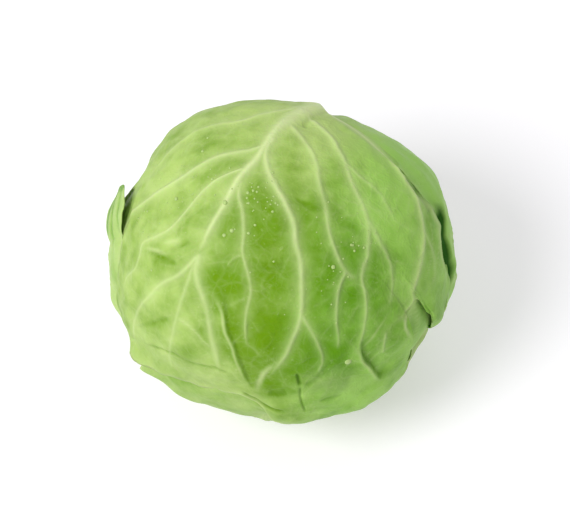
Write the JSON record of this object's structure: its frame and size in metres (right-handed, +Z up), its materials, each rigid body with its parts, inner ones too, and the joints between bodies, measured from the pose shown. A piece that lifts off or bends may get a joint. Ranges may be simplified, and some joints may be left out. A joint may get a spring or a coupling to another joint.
{
  "type": "cabbage head",
  "caption": "Round green cabbage head lying on its side on a small flat spot, with overlapping ribbed wrapper leaves round a dense heart and a cut stem stub.",
  "frame": {"origin": "on the surface it rests on, at the bottom centre of its bounding box", "axes": "+X across the head's width, +Y towards the cut stem end, +Z up"},
  "size_m": [0.1749, 0.1616, 0.1689],
  "materials": {
    "wrapper_leaf_deep": "waxy fresh leaf, soft sheen",
    "wrapper_leaf": "waxy fresh leaf, soft sheen",
    "inner_leaf": "pale waxy leaf, soft sheen",
    "cut_stem": "cut plant flesh, dull"
  },
  "bodies": {
    "root": {"leaf_right": "wrapper_leaf_deep", "leaf_left": "wrapper_leaf_deep", "leaf_front": "wrapper_leaf", "leaf_under": "inner_leaf", "heart": "inner_leaf", "stem": "cut_stem"}
  },
  "joints": []
}
